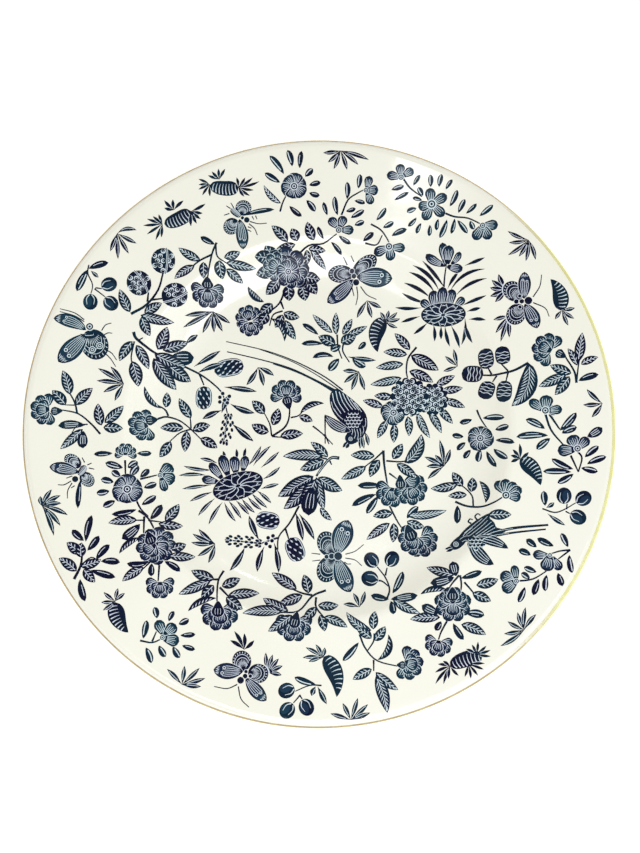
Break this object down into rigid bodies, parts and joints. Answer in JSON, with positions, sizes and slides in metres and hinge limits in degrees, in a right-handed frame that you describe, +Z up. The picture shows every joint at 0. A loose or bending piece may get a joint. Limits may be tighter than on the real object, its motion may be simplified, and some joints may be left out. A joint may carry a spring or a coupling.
{
  "type": "china serving platter",
  "caption": "Round china serving platter with a deep flat well, a broad swept rim with a gilt edge, a scattered blue flower, insect and bird print, and a foot ring.",
  "frame": {"origin": "on the platter's axis, on the plane that the foot ring stands on", "axes": "+Z up along the axis out of the well; +Y towards the top of the decoration as it is meant to be seen, +X to its right"},
  "size_m": [0.305, 0.305, 0.0253],
  "materials": {
    "bare_china": "fine unglazed bone china, matte and faintly warm, seen only on the foot ring's bearing edge",
    "glaze": "smooth glossy clear glaze over warm white china",
    "gilding": "burnished gold, thin enough to show slight wear on its crest",
    "cobalt_print": "engraved cobalt-blue transfer print under the glaze, in several depths from navy to grey blue"
  },
  "bodies": {
    "root": {"china_body": "bare_china", "glaze_coat": "glaze", "glaze_under_well": "glaze", "gilt_edge": "gilding"}
  },
  "joints": []
}
